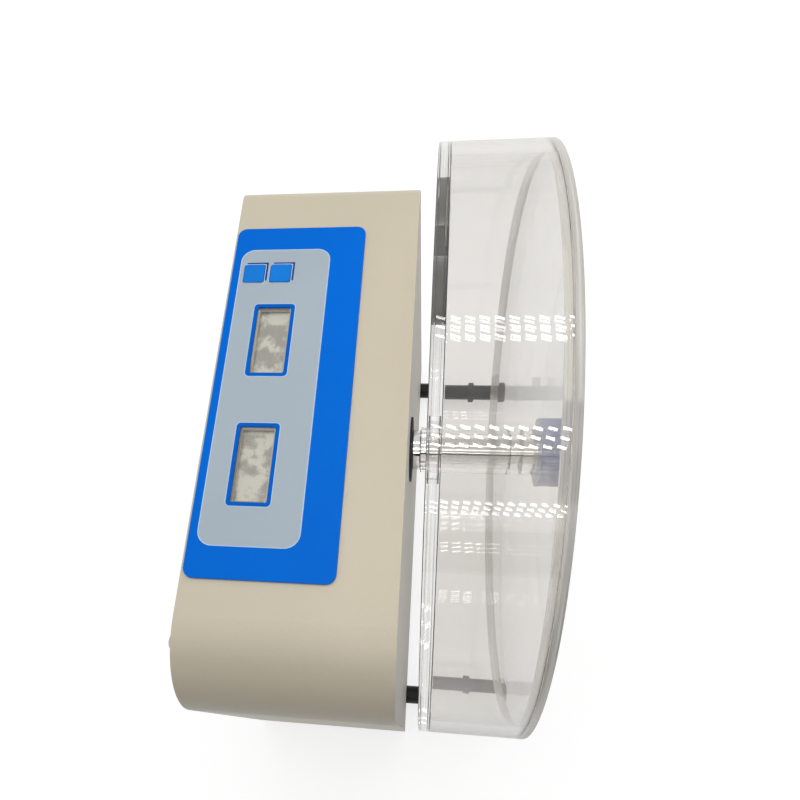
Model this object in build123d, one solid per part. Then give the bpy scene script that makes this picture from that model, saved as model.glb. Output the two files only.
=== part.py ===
from build123d import *
import os
from math import asin, cos, pi, sin, sqrt

os.makedirs("parts", exist_ok=True)

# Frame: +X is the machine's right, -Y its front (the drum side), +Z is up.
# The origin is the middle of the footprint, on the bench. All lengths are in millimetres.

# Case: a folded cover, closed by a front and a back plate, over a base tray
case_width = 294.0
case_depth = 102.5
case_rise = 45.0
skirt_height = 3.0
cover_sheet = 1.5
left_bend_radius = 40.0
right_bend_radius = 12.0
panel_sheet = 2.0
panel_fit = 0.15
tray_height = 16.0
tray_sheet = 2.0
tray_flange = 12.0

# Drum: acrylic discs on a rim, with a curved paddle and a hub tube
drum_floor_gap = 4.0
drum_bore = 286.0
drum_wall = 5.0
drum_disc = 5.0
drum_depth = 38.0
drum_gap = 10.3
lid_sheet = 3.0
lid_step = 3.0
lid_step_fit = 0.2
boss_length = 7.0
hub_diameter = 25.0
hub_setback = 4.6
joint_fit = 0.06
paddle_bulge = 43.5
paddle_sheet = 4.0
paddle_lid_gap = 0.3
paddle_phase = 3.2
slide_fit = 0.2

# Shaft, from the drum's nose back to the encoder
nose_diameter = 13.0
journal_diameter = 15.0
thread_diameter = 10.0
running_fit = 0.04
nose_end_gap = 1.0
shaft_tail = 78.0
seal_diameter = 36.0
seal_sheet = 1.0
seal_clearance = 0.1
collar_diameter = 22.0
collar_gap = 0.3
collar_chamfer = 0.5
dowel_diameter = 3.0
dowel_length = 6.0
dowel_radius = 8.9
dowel_fit = 0.1
dowel_end_gap = 0.3

# Knob that clamps the lid
knob_diameter = 37.0
knob_length = 15.0
knob_cap = 2.0
knob_scallop_radius = 6.0
knob_scallop_depth = 1.4
knob_scallops = 9
knob_edge = 1.5
knob_recess_radius = 13.0
knob_recess_depth = 1.2
insert_diameter = 16.0
insert_setback = 0.4
clamp_washer_diameter = 24.0
clamp_washer_sheet = 1.5

# Support rods under the drum
rod_diameter = 12.0
rod_height = 8.0
rod_margin = 25.0
rod_reach = 68.0
rod_tail = 72.0
rod_hole_clearance = 0.3
ring_diameter = 16.0
ring_width = 4.0
ring_reach = 41.0
cap_length = 6.0
cap_end = 1.5
saddle_width = 26.0
saddle_length = 14.0
saddle_lift = 3.0
saddle_first = 22.0
saddle_pitch = 36.0
set_screw_diameter = 4.0

# Bearings and their housing, behind the front plate
bearing_outer = 32.0
bearing_width = 9.0
bearing_ball = 4.76
bearing_balls = 9
race_share = 0.36
ball_gap = 0.1
race_fit = 0.03
housing_flange_diameter = 72.0
housing_flange = 5.0
housing_barrel_diameter = 44.0
housing_length = 46.5
housing_bore = 27.0
plate_gap = 0.3
circlip_sheet = 1.2
circlip_width = 3.0
circlip_groove = 0.9
circlip_fit = 0.15
circlip_setback = 2.0
stud_diameter = 4.0
stud_circle = 58.0
stud_length = 11.0
stud_fit = 0.1
nut_across = 7.0
nut_height = 3.2

# Belt drive
belt_width = 8.0
belt_sheet = 2.0
belt_clearance = 0.1
driven_pulley_radius = 20.0
motor_pulley_radius = 10.0
pulley_flange = 2.0
pulley_flange_rise = 3.5
pulley_depth = 60.0
pulley_drop = 74.0

# Geared motor, in front of its bracket
motor_diameter = 60.0
gearbox_length = 20.0
motor_length = 24.0
motor_step = 2.0
motor_shaft_diameter = 8.0
motor_shaft_length = 24.0
motor_flat = 0.5
bracket_depth = 50.0
bracket_sheet = 3.0
bracket_width = 80.0
bracket_margin = 8.0
bracket_foot = 22.0
bracket_screw_spacing = 53.0
bracket_hole = 16.0
motor_screw_circle = 48.0
sensor_arm_width = 12.0

# Encoder disc and optical sensor
encoder_diameter = 56.0
encoder_sheet = 1.5
encoder_depth = 51.0
encoder_hub_diameter = 24.0
encoder_slots = 12
encoder_slot_width = 3.0
encoder_slot_length = 6.0
encoder_edge = 3.0
sensor_width = 14.0
sensor_overlap = 6.0
sensor_length = 11.5
sensor_height = 12.0
sensor_slot = 3.1
sensor_slot_depth = 10.0

# Control label and what shows through it
label_length = 203.0
label_width = 72.4
label_sheet = 1.2
label_shift = 12.0
label_rear_margin = 1.3
label_corner = 5.0
display_length = 40.4
display_width = 18.2
display_corner = 1.0
display_inset = 26.9
display_margins = (144.9, 73.6)
window_sheet = 1.0
window_fit = 0.1
window_ledge = 1.0
key_length = 11.5
key_width = 11.5
key_margin = 31.3
key_inset = 20.1
key_pitch = 14.8
key_names = ("start", "setting")
key_rise = 0.5
key_fit = 0.25
key_corner = 1.2
key_travel = 0.5
key_stem_diameter = 5.0
key_stem_hole = 6.0

# Display board under the top sheet
board_sheet = 1.6
display_board_drop = 11.0
display_board_inset = 11.5
display_board_width = 43.0
module_gap = 1.0
module_margin = 3.0
glass_sheet = 1.2
glass_margin = 1.0
tact_size = 6.0
tact_gap = 0.1
standoff_diameter = 6.0
standoff_inset = 5.0

# Main board and transformer on the base tray
main_board_length = 68.0
main_board_height = 8.0
main_board_margin = 13.0
main_board_front_margin = 15.0
main_board_back_margin = 17.5
part_heights = (14.0, 20.0, 9.0, 26.0)
part_length_share = 0.2
part_width_share = 0.34
core_length = 56.0
core_width = 48.0
core_stack = 26.0
core_margin = 15.0
core_leg = 9.3
core_back_margin = 36.5
coil_margin = 9.0
coil_window = 10.0
coil_gap = 0.5
coil_fit = 0.1

# Fasteners
screw_diameter = 4.0
screw_head_diameter = 7.5
screw_head_height = 2.6
screw_length = 8.0
screw_recess = 2.6
screw_slot = 0.7
back_screw_margin = 29.0
back_screw_drop = 9.0
tab_width = 12.0
tab_sheet = 4.0

# Feet
foot_diameter = 20.0
foot_recess_diameter = 10.0
foot_recess_depth = 6.0
foot_margin = 52.0
foot_front_inset = 18.0
foot_edge = 1.5

# Back plate fittings
fitting_height = 52.0
inlet_margin = 51.0
inlet_flange_width = 50.0
inlet_flange_height = 26.0
inlet_flange = 3.0
inlet_body_width = 28.0
inlet_body_height = 20.5
inlet_body_depth = 22.0
inlet_cavity_width = 24.4
inlet_cavity_height = 16.6
inlet_cavity_depth = 17.0
inlet_corner = 3.0
pin_width = 2.0
pin_height = 4.0
pin_length = 14.0
pin_pitch = 14.0
pin_drop = 1.5
pin_root = 3.0
earth_rise = 3.4
switch_margin = 101.0
switch_width = 15.0
switch_height = 24.0
switch_flange = 2.0
switch_rim = 1.8
switch_depth = 20.0
switch_wall = 1.5
rocker_gap_x = 0.4
rocker_gap_z = 1.0
rocker_tilt = 8.0
rocker_pivot_depth = 4.0
rocker_proud = 3.2
rocker_thickness = 10.0
rocker_back_share = 0.75
pivot_diameter = 3.0
pivot_fit = 0.08
fuse_margin = 11.0
fuse_flange_diameter = 15.0
fuse_flange = 2.0
fuse_body_diameter = 12.0
fuse_body_depth = 28.0
fuse_cap_diameter = 10.0
fuse_cap_length = 9.0
fuse_cap_plug = 8.0
fuse_bore = 8.0
fuse_slot_width = 1.4
fuse_slot_depth = 1.2
fitting_fit = 0.1

cut_over = 1.0
full_turn = 360
quarter_turn = 90

# Depths of the parts in front of the case, measured forward from its front face
rear_disc_depth = drum_gap
rim_depth = rear_disc_depth + drum_disc
step_depth = rim_depth + drum_depth
lid_depth = step_depth + lid_step
boss_depth = lid_depth + lid_sheet
clamp_depth = boss_depth + boss_length
knob_depth = clamp_depth + clamp_washer_sheet
front_reach = knob_depth + knob_length
rear_reach = fuse_flange + fuse_cap_length

case_front = (front_reach - case_depth - rear_reach) / 2
case_back = case_front + case_depth
drum_radius = drum_bore / 2 + drum_wall
axis_height = drum_radius + drum_floor_gap
case_top = axis_height + case_rise
shaft_x = 0
nose_radius = nose_diameter / 2
journal_radius = journal_diameter / 2
shoulder_y = case_front - seal_sheet - collar_gap
hub_rear_y = case_front - rear_disc_depth + hub_setback
motor_z = axis_height - pulley_drop


def block(x0, x1, y0, y1, z0, z1):
    """A box between two corners."""
    middle = ((x0 + x1) / 2, (y0 + y1) / 2, (z0 + z1) / 2)
    return Pos(*middle) * Box(x1 - x0, y1 - y0, z1 - z0)


def bar(radius, y0, y1, x=0, z=0):
    """A round bar along Y."""
    return Pos(x, (y0 + y1) / 2, z) * Rot(quarter_turn, 0, 0) * Cylinder(radius, y1 - y0)


def pipe(outer, inner, y0, y1, x=0, z=0):
    """A round tube along Y."""
    return bar(outer, y0, y1, x, z) - bar(inner, y0 - cut_over, y1 + cut_over, x, z)


def post(radius, z0, z1, x, y):
    """A round bar along Z."""
    return Pos(x, y, (z0 + z1) / 2) * Cylinder(radius, z1 - z0)


def side_bar(radius, x0, x1, y, z):
    """A round bar along X."""
    return Pos((x0 + x1) / 2, y, z) * Rot(0, quarter_turn, 0) * Cylinder(radius, x1 - x0)


def plate_z(x0, x1, y0, y1, z0, z1, corner):
    """A flat plate with rounded upright corners."""
    body = block(x0, x1, y0, y1, z0, z1)
    return fillet(body.edges().filter_by(Axis.Z), corner)


def arch(half_width, base, top, y0, y1, left_radius, right_radius):
    """A block along Y with its two upper edges rounded to different radii."""
    body = block(-half_width, half_width, y0, y1, base, top)
    left = body.edges().filter_by(Axis.Y).group_by(Axis.Z)[-1].sort_by(Axis.X)[0]
    body = fillet(left, left_radius)
    right = body.edges().filter_by(Axis.Y).group_by(Axis.Z)[-1].sort_by(Axis.X)[-1]
    return fillet(right, right_radius)


def around(count, radius, x, z):
    """Places evenly spaced on a circle in the XZ plane."""
    steps = [2 * pi * index / count for index in range(count)]
    return [(x + radius * cos(step), z + radius * sin(step)) for step in steps]


def save(name, *shapes):
    """Write one node, made of one solid or of a group of separate ones."""
    shape = shapes[0] if len(shapes) == 1 else Compound(children=list(shapes))
    export_step(shape, "parts/" + name + ".step")


# Places shared by several pieces
label_end = label_shift + label_length / 2
display_xs = [label_end - margin for margin in display_margins]
label_rear = case_back - label_rear_margin
label_front = label_rear - label_width
display_y = label_rear - display_inset
key_x = label_end - key_margin
key_ys = [label_rear - key_inset + key_pitch / 2, label_rear - key_inset - key_pitch / 2]
top_inner = case_top - cover_sheet
board_top = top_inner - display_board_drop
rod_xs = (rod_margin - case_width / 2, case_width / 2 - rod_margin)
tray_inner = tray_height + tray_sheet
plate_half = case_width / 2 - cover_sheet - panel_fit
tray_half = plate_half
bracket_y = case_front + bracket_depth
pulley_y = case_front + pulley_depth
encoder_y = case_front + encoder_depth
bearing_front_y = case_front + panel_sheet + plate_gap
inlet_x = case_width / 2 - inlet_margin
switch_x = case_width / 2 - switch_margin
fuse_x = case_width / 2 - fuse_margin
back_screw_x = case_width / 2 - back_screw_margin
foot_x = case_width / 2 - foot_margin
bearing_rear_end = case_front + housing_length - circlip_setback - circlip_sheet - circlip_fit
bearing_rear_y = bearing_rear_end - bearing_width


def display_hole(x, margin, z0, z1, corner):
    """The space of one display, grown by a margin."""
    half_x = display_length / 2 + margin
    half_y = display_width / 2 + margin
    return plate_z(x - half_x, x + half_x, display_y - half_y, display_y + half_y, z0, z1, corner)


def make_cover():
    """The folded cover, with holes for the displays and the key stems."""
    outer = arch(case_width / 2, skirt_height, case_top, case_front, case_back,
                 left_bend_radius, right_bend_radius)
    inner = arch(case_width / 2 - cover_sheet, skirt_height - cut_over, top_inner,
                 case_front - cut_over, case_back + cut_over,
                 left_bend_radius - cover_sheet, right_bend_radius - cover_sheet)
    shell = outer - inner
    for x in display_xs:
        shell -= display_hole(x, -window_ledge, top_inner - cut_over, case_top + cut_over,
                              display_corner / 2)
    for y in key_ys:
        shell -= post(key_stem_hole / 2, top_inner - cut_over, case_top + cut_over, key_x, y)
    roof = arch(case_width / 2, skirt_height, case_top, case_front, case_back,
                left_bend_radius, right_bend_radius)
    for tab in screw_tabs():
        shell += tab & roof
    save("cover_shell", shell)


def screw_tabs():
    """Welded tabs under the roof, which the upper screws of the back plate bite."""
    tabs = []
    y1 = case_back - panel_sheet
    z0 = case_top - back_screw_drop - tab_width / 2
    for side in (-1, 1):
        x = side * back_screw_x
        tab = block(x - tab_width / 2, x + tab_width / 2, y1 - tab_sheet, y1, z0, case_top)
        tab -= bar(screw_diameter / 2 + stud_fit, y1 - tab_sheet - cut_over, y1 + cut_over, x,
                   case_top - back_screw_drop)
        tabs.append(tab)
    return tabs


def panel(y0, y1):
    """A flat end panel that fits inside the cover."""
    return arch(plate_half, skirt_height, top_inner - panel_fit, y0, y1,
                left_bend_radius - cover_sheet - panel_fit,
                right_bend_radius - cover_sheet - panel_fit)


def make_front_plate():
    """The front panel, with its shaft hole, rod holes and welded studs."""
    inside = case_front + panel_sheet
    plate = panel(case_front, inside)
    y0, y1 = case_front - cut_over, inside + cut_over
    plate -= bar(journal_radius + seal_clearance + stud_fit, y0, y1, shaft_x, axis_height)
    for x in rod_xs:
        plate -= bar(rod_diameter / 2 + rod_hole_clearance, y0, y1, x, rod_height)
    for x, z in around(4, stud_circle / 2, shaft_x, axis_height):
        plate += bar(stud_diameter / 2, inside, inside + stud_length, x, z)
    save("front_plate", plate)


def back_screw_places():
    """The four places of the back plate's screws."""
    zs = (case_top - back_screw_drop, tray_inner + tray_flange / 2)
    return [(side * back_screw_x, z) for side in (-1, 1) for z in zs]


def make_back_plate():
    """The back panel, with holes for the fittings and its screws."""
    inside = case_back - panel_sheet
    plate = panel(inside, case_back)
    y0, y1 = inside - cut_over, case_back + cut_over
    for x, z in back_screw_places():
        plate -= bar(screw_diameter / 2 + stud_fit, y0, y1, x, z)
    half_width = inlet_body_width / 2 + fitting_fit
    half_height = inlet_body_height / 2 + fitting_fit
    plate -= block(inlet_x - half_width, inlet_x + half_width, y0, y1,
                   fitting_height - half_height, fitting_height + half_height)
    half_width = switch_width / 2 - switch_rim + fitting_fit
    half_height = switch_height / 2 - switch_rim + fitting_fit
    plate -= block(switch_x - half_width, switch_x + half_width, y0, y1,
                   fitting_height - half_height, fitting_height + half_height)
    plate -= bar(fuse_body_diameter / 2 + fitting_fit, y0, y1, fuse_x, fitting_height)
    save("back_plate", plate)


def make_tray():
    """The base tray: a floor with four upturned flanges."""
    y0, y1 = case_front + panel_sheet, case_back - panel_sheet
    top = tray_inner + tray_flange
    tray = block(-tray_half, tray_half, y0, y1, tray_height, top)
    tray -= block(-tray_half + tray_sheet, tray_half - tray_sheet, y0 + tray_sheet, y1 - tray_sheet,
                  tray_inner, top + cut_over)
    for x, y in foot_places():
        tray -= post(screw_diameter / 2 + stud_fit, tray_height - cut_over, tray_inner + cut_over, x, y)
    for x, z in back_screw_places():
        if z < axis_height:
            tray -= bar(screw_diameter / 2 + stud_fit, y1 - tray_sheet - cut_over, y1 + cut_over, x, z)
    save("base_tray", tray)


def foot_places():
    """The four places of the feet."""
    ys = (case_front + foot_front_inset, case_back - foot_front_inset)
    return [(side * foot_x, y) for side in (-1, 1) for y in ys]


def pan_screw(axis_point, direction):
    """A pan-head screw with a cross recess. Its head sits on the plane through axis_point."""
    head = Cylinder(screw_head_diameter / 2, screw_head_height, align=(Align.CENTER, Align.CENTER, Align.MIN))
    head = fillet(head.edges().group_by(Axis.Z)[-1], screw_head_height / 2)
    shank = Cylinder(screw_diameter / 2, screw_length, align=(Align.CENTER, Align.CENTER, Align.MAX))
    cross = Box(screw_recess, screw_slot, screw_head_height)
    cross += Box(screw_slot, screw_recess, screw_head_height)
    screw = head + shank - Pos(0, 0, screw_head_height) * cross
    return Plane(origin=axis_point, z_dir=direction) * screw


def make_feet():
    """Rubber feet with recessed screws."""
    feet = []
    screws = []
    for x, y in foot_places():
        foot = post(foot_diameter / 2, 0, tray_height, x, y)
        foot = fillet(foot.edges().group_by(Axis.Z)[0], foot_edge)
        foot -= post(foot_recess_diameter / 2, -cut_over, foot_recess_depth, x, y)
        foot -= post(screw_diameter / 2 + stud_fit, 0, tray_height + cut_over, x, y)
        feet.append(foot)
        seat = foot_recess_depth
        screw = post(screw_diameter / 2, seat, tray_inner + screw_head_height, x, y)
        screw += post(screw_head_diameter / 2, seat - screw_head_height, seat, x, y)
        screws.append(screw)
    save("rubber_feet", *feet)
    save("foot_screws", *screws)


def make_back_screws():
    """Domed screws that hold the back plate to the tray and to the cover's tabs."""
    screws = [pan_screw((x, case_back, z), (0, 1, 0)) for x, z in back_screw_places()]
    save("back_plate_screws", *screws)


def make_rods():
    """The two support rods, with their rubber rings, end caps, saddles and set screws."""
    tip = case_front - rod_reach
    tail = case_front + rod_tail
    rods, rings, caps, saddles, grubs = [], [], [], [], []
    for x in rod_xs:
        rods.append(bar(rod_diameter / 2, tip + cap_end, tail, x, rod_height))
        ring_y = case_front - ring_reach
        ring = pipe(ring_diameter / 2, rod_diameter / 2 + joint_fit, ring_y - ring_width / 2,
                    ring_y + ring_width / 2, x, rod_height)
        rings.append(ring)
        cap = bar(ring_diameter / 2, tip, tip + cap_length, x, rod_height)
        cap = fillet(cap.edges().group_by(Axis.Y)[0], cap_end / 2)
        cap -= bar(rod_diameter / 2 + joint_fit, tip + cap_end, tip + cap_length + cut_over, x, rod_height)
        caps.append(cap)
        for index in range(2):
            y = case_front + saddle_first + index * saddle_pitch
            y0, y1 = y - saddle_length / 2, y + saddle_length / 2
            saddle = block(x - saddle_width / 2, x + saddle_width / 2, y0, y1, saddle_lift, tray_height)
            saddle -= bar(rod_diameter / 2 + joint_fit, y0 - cut_over, y1 + cut_over, x, rod_height)
            inner = -1 if x > 0 else 1
            start = x + inner * (rod_diameter / 2 + joint_fit)
            end = x + inner * saddle_width / 2
            hole = side_bar(set_screw_diameter / 2 + joint_fit, min(start, end) - cut_over,
                            max(start, end) + cut_over, y, rod_height)
            saddle -= hole
            saddles.append(saddle)
            grubs.append(side_bar(set_screw_diameter / 2, min(start, end), max(start, end), y, rod_height))
    save("support_rods", *rods)
    save("rod_rings", *rings)
    save("rod_end_caps", *caps)
    save("rod_saddles", *saddles)
    save("rod_set_screws", *grubs)


def make_drum_body():
    """The drum's rear disc, rim, hub tube and paddle."""
    rear_face = case_front - rear_disc_depth
    rim_rear = case_front - rim_depth
    bore_radius = hub_diameter / 2 + joint_fit
    save("drum_rear_disc", pipe(drum_radius, bore_radius, rim_rear, rear_face, shaft_x, axis_height))
    rim = pipe(drum_radius, drum_bore / 2, case_front - lid_depth, rim_rear, shaft_x, axis_height)
    save("drum_rim", rim)
    tube = pipe(hub_diameter / 2, nose_radius + running_fit, case_front - step_depth, hub_rear_y,
                shaft_x, axis_height)
    for x, z in around(2, dowel_radius, shaft_x, axis_height):
        tube -= bar(dowel_diameter / 2 + dowel_fit, hub_rear_y - dowel_length / 2 - dowel_end_gap,
                    hub_rear_y + cut_over, x, z)
    save("hub_tube", tube)
    save("drum_paddle", make_paddle())


def make_paddle():
    """A curved strip from the hub tube to the rim, bulging down towards the machine's left."""
    reach = drum_bore / 2
    paddle_radius = ((reach / 2) ** 2 + paddle_bulge ** 2) / (2 * paddle_bulge)
    rise = paddle_radius - paddle_bulge
    y0, y1 = case_front - step_depth + paddle_lid_gap, case_front - rim_depth
    strip = pipe(paddle_radius + paddle_sheet, paddle_radius, y0, y1, -reach / 2, rise)
    below = block(-reach - cut_over, 0, y0 - cut_over, y1 + cut_over, -reach, 0)
    strip = strip & below
    strip = strip & bar(reach - joint_fit, y0 - cut_over, y1 + cut_over)
    strip -= bar(hub_diameter / 2 + joint_fit, y0 - cut_over, y1 + cut_over)
    return Pos(shaft_x, 0, axis_height) * Rot(0, paddle_phase, 0) * strip


def make_lid():
    """The removable front: a disc with a step that sits inside the rim, and a boss."""
    bore = nose_radius + slide_fit
    lid = pipe(drum_radius, bore, case_front - boss_depth, case_front - lid_depth, shaft_x, axis_height)
    lid += pipe(drum_bore / 2 - lid_step_fit, bore, case_front - lid_depth, case_front - step_depth,
                shaft_x, axis_height)
    save("drum_lid", lid)
    save("lid_boss", pipe(hub_diameter / 2, bore, case_front - clamp_depth, case_front - boss_depth,
                          shaft_x, axis_height))


def make_knob():
    """The clamp washer, the lobed knob and its threaded insert."""
    rear = case_front - knob_depth
    tip = rear - knob_length
    save("clamp_washer", pipe(clamp_washer_diameter / 2, thread_diameter / 2 + slide_fit, rear,
                              case_front - clamp_depth, shaft_x, axis_height))
    knob = bar(knob_diameter / 2, tip, rear, shaft_x, axis_height)
    knob = chamfer(knob.edges().group_by(Axis.Y)[0], knob_edge)
    ring = knob_diameter / 2 + knob_scallop_radius - knob_scallop_depth
    for x, z in around(knob_scallops, ring, shaft_x, axis_height):
        knob -= bar(knob_scallop_radius, tip - cut_over, rear - knob_edge, x, z)
    seat = tip + knob_cap
    knob -= bar(insert_diameter / 2 + joint_fit, seat, rear + cut_over, shaft_x, axis_height)
    knob -= pipe(knob_recess_radius, insert_diameter / 2, tip - cut_over, tip + knob_recess_depth,
                 shaft_x, axis_height)
    save("drum_knob", knob)
    insert = pipe(insert_diameter / 2, thread_diameter / 2 + running_fit, seat,
                  rear - insert_setback, shaft_x, axis_height)
    save("knob_insert", insert)


def make_shaft():
    """The stepped shaft, its collar, the dowels that drive the hub tube and the seal washer."""
    nose_end = case_front - clamp_depth + nose_end_gap
    thread_end = case_front - knob_depth - knob_length + knob_cap + nose_end_gap
    shaft = bar(journal_radius, shoulder_y, case_front + shaft_tail, shaft_x, axis_height)
    shaft += bar(nose_radius, nose_end, shoulder_y, shaft_x, axis_height)
    shaft += bar(thread_diameter / 2, thread_end, nose_end, shaft_x, axis_height)
    save("drive_shaft", shaft)
    collar = pipe(collar_diameter / 2, nose_radius + running_fit, hub_rear_y, shoulder_y,
                  shaft_x, axis_height)
    collar = chamfer(collar.edges().filter_by(GeomType.CIRCLE).sort_by(SortBy.RADIUS)[-2:], collar_chamfer)
    dowels = []
    for x, z in around(2, dowel_radius, shaft_x, axis_height):
        y0, y1 = hub_rear_y - dowel_length / 2, hub_rear_y + dowel_length / 2
        collar -= bar(dowel_diameter / 2 + joint_fit, y0, y1 + dowel_end_gap, x, z)
        dowels.append(bar(dowel_diameter / 2, y0, y1, x, z))
    save("drive_collar", collar)
    save("drive_dowels", *dowels)
    seal = pipe(seal_diameter / 2, journal_radius + seal_clearance, case_front - seal_sheet, case_front,
                shaft_x, axis_height)
    save("shaft_washer", seal)


def make_bearings():
    """The two ball bearings: outer rings, inner rings and balls."""
    inner_radius = journal_radius + running_fit / 2
    outer_radius = bearing_outer / 2
    band = (outer_radius - inner_radius) * race_share
    pitch = (outer_radius + inner_radius) / 2
    outers, inners, balls = [], [], []
    for y0 in (bearing_front_y, bearing_rear_y):
        y1 = y0 + bearing_width
        middle = (y0 + y1) / 2
        ring = Rot(quarter_turn, 0, 0) * Torus(pitch, bearing_ball / 2 + ball_gap)
        groove = Pos(shaft_x, middle, axis_height) * ring
        outers.append(pipe(outer_radius, outer_radius - band, y0, y1, shaft_x, axis_height) - groove)
        inners.append(pipe(inner_radius + band, inner_radius, y0, y1, shaft_x, axis_height) - groove)
        for x, z in around(bearing_balls, pitch, shaft_x, axis_height):
            balls.append(Pos(x, middle, z) * Sphere(bearing_ball / 2))
    save("bearing_outer_rings", *outers)
    save("bearing_inner_rings", *inners)
    save("bearing_balls", *balls)


def make_housing():
    """The flanged bearing housing, its nuts and the ring that keeps the rear bearing in."""
    y0 = case_front + panel_sheet
    y1 = case_front + housing_length
    housing = bar(housing_barrel_diameter / 2, y0, y1, shaft_x, axis_height)
    housing += bar(housing_flange_diameter / 2, y0, y0 + housing_flange, shaft_x, axis_height)
    pocket = bearing_outer / 2 + race_fit
    housing -= bar(housing_bore / 2, y0 - cut_over, y1 + cut_over, shaft_x, axis_height)
    housing -= bar(pocket, y0 - cut_over, bearing_front_y + bearing_width, shaft_x, axis_height)
    housing -= bar(pocket, bearing_rear_y, y1 + cut_over, shaft_x, axis_height)
    clip_y = bearing_rear_end + circlip_fit / 2
    housing -= bar(pocket + circlip_groove, clip_y, clip_y + circlip_sheet + circlip_fit,
                   shaft_x, axis_height)
    for x, z in around(4, stud_circle / 2, shaft_x, axis_height):
        housing -= bar(stud_diameter / 2 + stud_fit, y0 - cut_over, y0 + housing_flange + cut_over, x, z)
    save("bearing_housing", housing)
    clip = pipe(pocket + circlip_groove - circlip_fit, pocket + circlip_groove - circlip_fit - circlip_width,
                clip_y + circlip_fit / 2, clip_y + circlip_fit / 2 + circlip_sheet, shaft_x, axis_height)
    gap = block(-circlip_width, circlip_width, clip_y - cut_over, clip_y + circlip_sheet + cut_over,
                axis_height - bearing_outer, axis_height)
    save("retaining_ring", clip - gap)
    nuts = []
    for x, z in around(4, stud_circle / 2, shaft_x, axis_height):
        seat = y0 + housing_flange
        hexagon = extrude(RegularPolygon(nut_across / sqrt(3), 6), nut_height)
        nut = Plane(origin=(x, seat, z), z_dir=(0, 1, 0)) * hexagon
        nuts.append(nut - bar(stud_diameter / 2 + joint_fit, seat - cut_over,
                              seat + nut_height + cut_over, x, z))
    save("housing_nuts", *nuts)


def make_pulley(name, radius, bore, z):
    """A belt pulley with two flanges."""
    y0 = pulley_y
    y1 = y0 + belt_width + 2 * (pulley_flange + belt_clearance)
    body = bar(radius, y0, y1, shaft_x, z)
    for start in (y0, y1 - pulley_flange):
        body += bar(radius + pulley_flange_rise, start, start + pulley_flange, shaft_x, z)
    save(name, body - bar(bore + running_fit, y0 - cut_over, y1 + cut_over, shaft_x, z))


def belt_loop(grow, y0, y1):
    """The outline round both pulleys, grown outwards."""
    big = driven_pulley_radius + grow
    small = motor_pulley_radius + grow
    lean = asin((big - small) / pulley_drop)
    upper = (big * cos(lean), axis_height + big * sin(lean))
    lower = (small * cos(lean), motor_z + small * sin(lean))
    corners = [upper, lower, (-lower[0], lower[1]), (-upper[0], upper[1])]
    side = Plane(origin=(shaft_x, y0, 0), x_dir=(1, 0, 0), z_dir=(0, -1, 0))
    web = extrude(side * make_face(Polyline(*corners, close=True)), -(y1 - y0))
    return web + bar(big, y0, y1, shaft_x, axis_height) + bar(small, y0, y1, shaft_x, motor_z)


def make_belt_drive():
    """Both pulleys and the belt."""
    make_pulley("driven_pulley", driven_pulley_radius, journal_radius, axis_height)
    make_pulley("motor_pulley", motor_pulley_radius, motor_shaft_diameter / 2, motor_z)
    y0 = pulley_y + pulley_flange + belt_clearance
    y1 = y0 + belt_width
    loop = belt_loop(belt_clearance + belt_sheet, y0, y1)
    save("drive_belt", loop - belt_loop(belt_clearance, y0 - cut_over, y1 + cut_over))


def make_motor():
    """The geared motor, its shaft, its bracket and their screws."""
    face = bracket_y
    gearbox = bar(motor_diameter / 2, face - gearbox_length, face, shaft_x, motor_z)
    gearbox -= bar(motor_shaft_diameter / 2 + running_fit, face - gearbox_length / 2, face + cut_over,
                   shaft_x, motor_z)
    save("motor_gearbox", gearbox)
    can_front = face - gearbox_length - motor_length
    can = bar(motor_diameter / 2 - motor_step, can_front, face - gearbox_length, shaft_x, motor_z)
    save("motor_can", fillet(can.edges().group_by(Axis.Y)[0], motor_step))
    shaft = bar(motor_shaft_diameter / 2, face - gearbox_length / 2 + motor_flat, face + motor_shaft_length,
                shaft_x, motor_z)
    save("motor_shaft", shaft)
    make_bracket(face)


def make_bracket(face):
    """The upright motor bracket with its foot and the arm for the sensor."""
    y1 = face + bracket_sheet
    plate_top = motor_z + motor_diameter / 2 + bracket_margin
    plate = block(-bracket_width / 2, bracket_width / 2, face, y1, tray_inner, plate_top)
    arm_x = encoder_diameter / 2 - sensor_overlap + sensor_width
    plate += block(arm_x, arm_x + sensor_arm_width, face, y1, tray_inner, axis_height + sensor_height / 2)
    plate += block(-bracket_width / 2, bracket_width / 2, y1, y1 + bracket_foot, tray_inner,
                   tray_inner + bracket_sheet)
    plate -= bar(bracket_hole / 2, face - cut_over, y1 + cut_over, shaft_x, motor_z)
    save("motor_bracket", plate)
    screws = []
    for x, z in around(4, motor_screw_circle / 2, shaft_x, motor_z):
        screws.append(bar(screw_head_diameter / 2, y1, y1 + screw_head_height, x, z))
    foot_y = y1 + bracket_foot / 2
    foot_z = tray_inner + bracket_sheet
    for side in (-1, 1):
        x = side * bracket_screw_spacing / 2
        screws.append(post(screw_head_diameter / 2, foot_z, foot_z + screw_head_height, x, foot_y))
    save("bracket_screws", *screws)


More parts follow.
